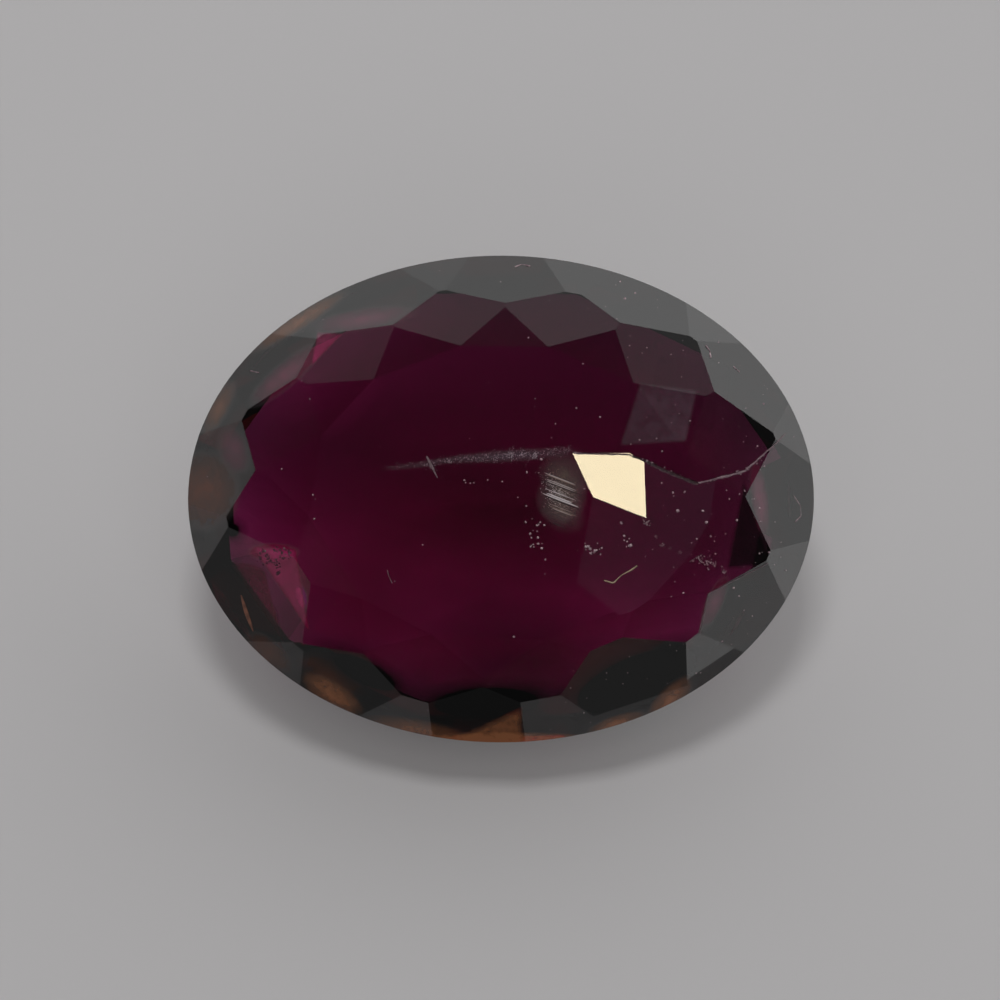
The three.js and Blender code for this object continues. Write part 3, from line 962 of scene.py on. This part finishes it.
strength = add_node(
    tree, "ShaderNodeMath", {0: folds, 1: FOLD_STRENGTH, 2: balance}, operation="MULTIPLY_ADD"
).outputs[0]
tent = add_node(tree, "ShaderNodeBackground", {"Color": ramp.outputs[0], "Strength": strength})
sky = add_node(tree, "ShaderNodeOutputWorld")
tree.links.new(tent.outputs[0], sky.inputs["Surface"])
print("stops in the tent's ramp:", len(TENT))

# %% [markdown]
# ## Lamps
# A softbox gives the soft shadow. A small warm lamp stands where only one face of the scar mirrors it, and
# its dim shade round it gives the other faces a cool sheen. A lamp's energy is worked out from its
# radiance, the brightness that a mirror shows, and its area.

# %% Lamps
LAMP_AWAY = 200  # mm from the stone
SHADE_AWAY = 202
KEY_TILT = np.radians(38.5)


def flat_lamp(name, size_mm, radiance):
    """A flat rectangular lamp. Its energy is radiance times pi times its area."""
    data = bpy.data.lights.new(name, "AREA")
    data.shape = "RECTANGLE"
    data.size, data.size_y = np.array(size_mm) * MM
    data.energy = radiance * np.pi * data.size * data.size_y
    lamp = bpy.data.objects.new(name, data)
    bpy.context.scene.collection.objects.link(lamp)
    print(name, "in mm:", size_mm)
    return lamp


def soft_lamp(name, toward, away_mm, size_mm, radiance, colour):
    """A flat lamp that faces the stone, away_mm from it along toward, in the stone's own axes.

    Its first side lies along the oval. A lamp shines along its own -Z, so its Z axis points away from the
    stone.
    """
    lamp = flat_lamp(name, size_mm, radiance)
    lamp.data.color = linear(colour)[:3]
    aim = np.array(toward) / np.linalg.norm(toward) @ stone_axes
    lamp.location = girdle_centre + aim * away_mm * MM
    level = along - aim * (along @ aim)
    level /= np.linalg.norm(level)
    lamp.rotation_mode = "QUATERNION"
    lamp.rotation_quaternion = Matrix((level, np.cross(aim, level), aim)).transposed().to_quaternion()


soft_lamp("small_lamp", (0.137, 0.060, 0.98844), LAMP_AWAY, (6.8, 6.0), 15.8, "#FFF0C8")
soft_lamp("lamp_shade", (0.125, 0.025, 0.99), SHADE_AWAY, (32, 28), 0.09, "#E8E8FF")
soft_lamp("softbox", (-0.04, np.sin(KEY_TILT), np.cos(KEY_TILT)), LAMP_AWAY, (50, 46), 12.5, "#FFFFFF")

# %% [markdown]
# One more lamp lies under the paper, straight below the facet that the stone stands on, where no other
# light gets.

# %% Lamp under the paper
PAD_PLACE = (0.4, 0.2, -0.6)  # mm
pad = flat_lamp("light_pad", (3.6, 3.6), 1.7)
pad.location = np.array(PAD_PLACE) * MM
pad.rotation_euler = (np.pi, 0, 0)

# %% [markdown]
# ## Cards
# The lower rim mirrors the paper round the stone, which would make it one flat grey. Cards give it light
# and dark, as they do when jewels are photographed. They are seen only in mirrors: the camera doesn't see
# them, and they cast no light or shadow on the paper.

# %% Dark cards
DARK_CARDS = [  # x and y range in mm, colour
    ("left_dark_card", -7.0, -3.6, -10.5, -6.3, "#949494"),
    ("front_dark_card", -1.45, 0.4, -8.0, -5.2, "#606060"),
    ("right_dark_card", 3.9, 8.2, -17.0, -9.3, "#9C9C9C"),
]
CARD_LIFT = 0.02 * MM  # off the paper


def only_in_mirrors(card):
    """Hides an object from everything but mirrored rays."""
    card.visible_camera = card.visible_diffuse = card.visible_transmission = False
    card.visible_volume_scatter = card.visible_shadow = False


for name, left, right, near, far, colour in DARK_CARDS:
    card_corners = [(left, near), (right, near), (right, far), (left, far)]
    card_mesh = bpy.data.meshes.new(name)
    card_mesh.from_pydata([(x * MM, y * MM, CARD_LIFT) for x, y in card_corners], [], [(0, 1, 2, 3)])
    card = bpy.data.objects.new(name, card_mesh)
    bpy.context.scene.collection.objects.link(card)
    grey_card, tree, output = new_material(name)
    card_face = add_node(tree, "ShaderNodeBsdfPrincipled", {"Base Color": linear(colour), "Roughness": 0.9})
    tree.links.new(card_face.outputs[0], output.inputs["Surface"])
    card_mesh.materials.append(grey_card)
    only_in_mirrors(card)
print("dark cards:", len(DARK_CARDS))

# %% [markdown]
# The light cards are lamps, so they need no material and their brightness is one number.

# %% Light cards
LIGHT_CARDS = [  # place and size in mm, turn, radiance
    ("right_card", (12, 0, 1.55), (2.9, 12), (0, np.pi / 2, 0), 1.0),
    ("low_right_card", (12, -8.7, 1.1), (2.0, 3.8), (0, np.pi / 2, 0), 0.4),
    ("left_card", (-12, -2.0, 1.9), (2.0, 4.0), (0, -np.pi / 2, 0), 0.2),
    ("corner_card", (7.2, -8.0, 0.05), (2.8, 2.6), (np.pi, 0, 0), 0.65),
]
for name, place_mm, size_mm, turned, radiance in LIGHT_CARDS:
    card = flat_lamp(name, size_mm, radiance)
    card.location = np.array(place_mm) * MM
    card.rotation_euler = turned
    only_in_mirrors(card)

# %% [markdown]
# ## The camera
# The photo shows the table face on, so the camera looks straight at it, through a long lens. Its distance
# follows from the width of the frame at the stone.

# %% Camera
FRAME_WIDTH = 14.38  # mm at the girdle
FRAME_MIDDLE = (-0.014, -0.014, 0)  # mm along, across and out of the oval's centre
FOCAL_LENGTH = 300
SENSOR_WIDTH = 36
CAMERA_AWAY = FRAME_WIDTH * FOCAL_LENGTH / SENSOR_WIDTH

camera_data = bpy.data.cameras.new("camera")
camera_data.lens = FOCAL_LENGTH
camera_data.sensor_width = SENSOR_WIDTH
camera_data.clip_start = 1 * MM
camera_data.clip_end = 10
camera = bpy.data.objects.new("camera", camera_data)
bpy.context.scene.collection.objects.link(camera)
camera.location = from_table(FRAME_MIDDLE) + out * CAMERA_AWAY * MM
camera.rotation_mode = "QUATERNION"
camera.rotation_quaternion = Vector(-out).to_track_quat("-Z", "Y")
bpy.context.scene.camera = camera
bpy.context.scene.view_settings.view_transform = "Standard"
print("camera away in mm:", round(CAMERA_AWAY, 1))
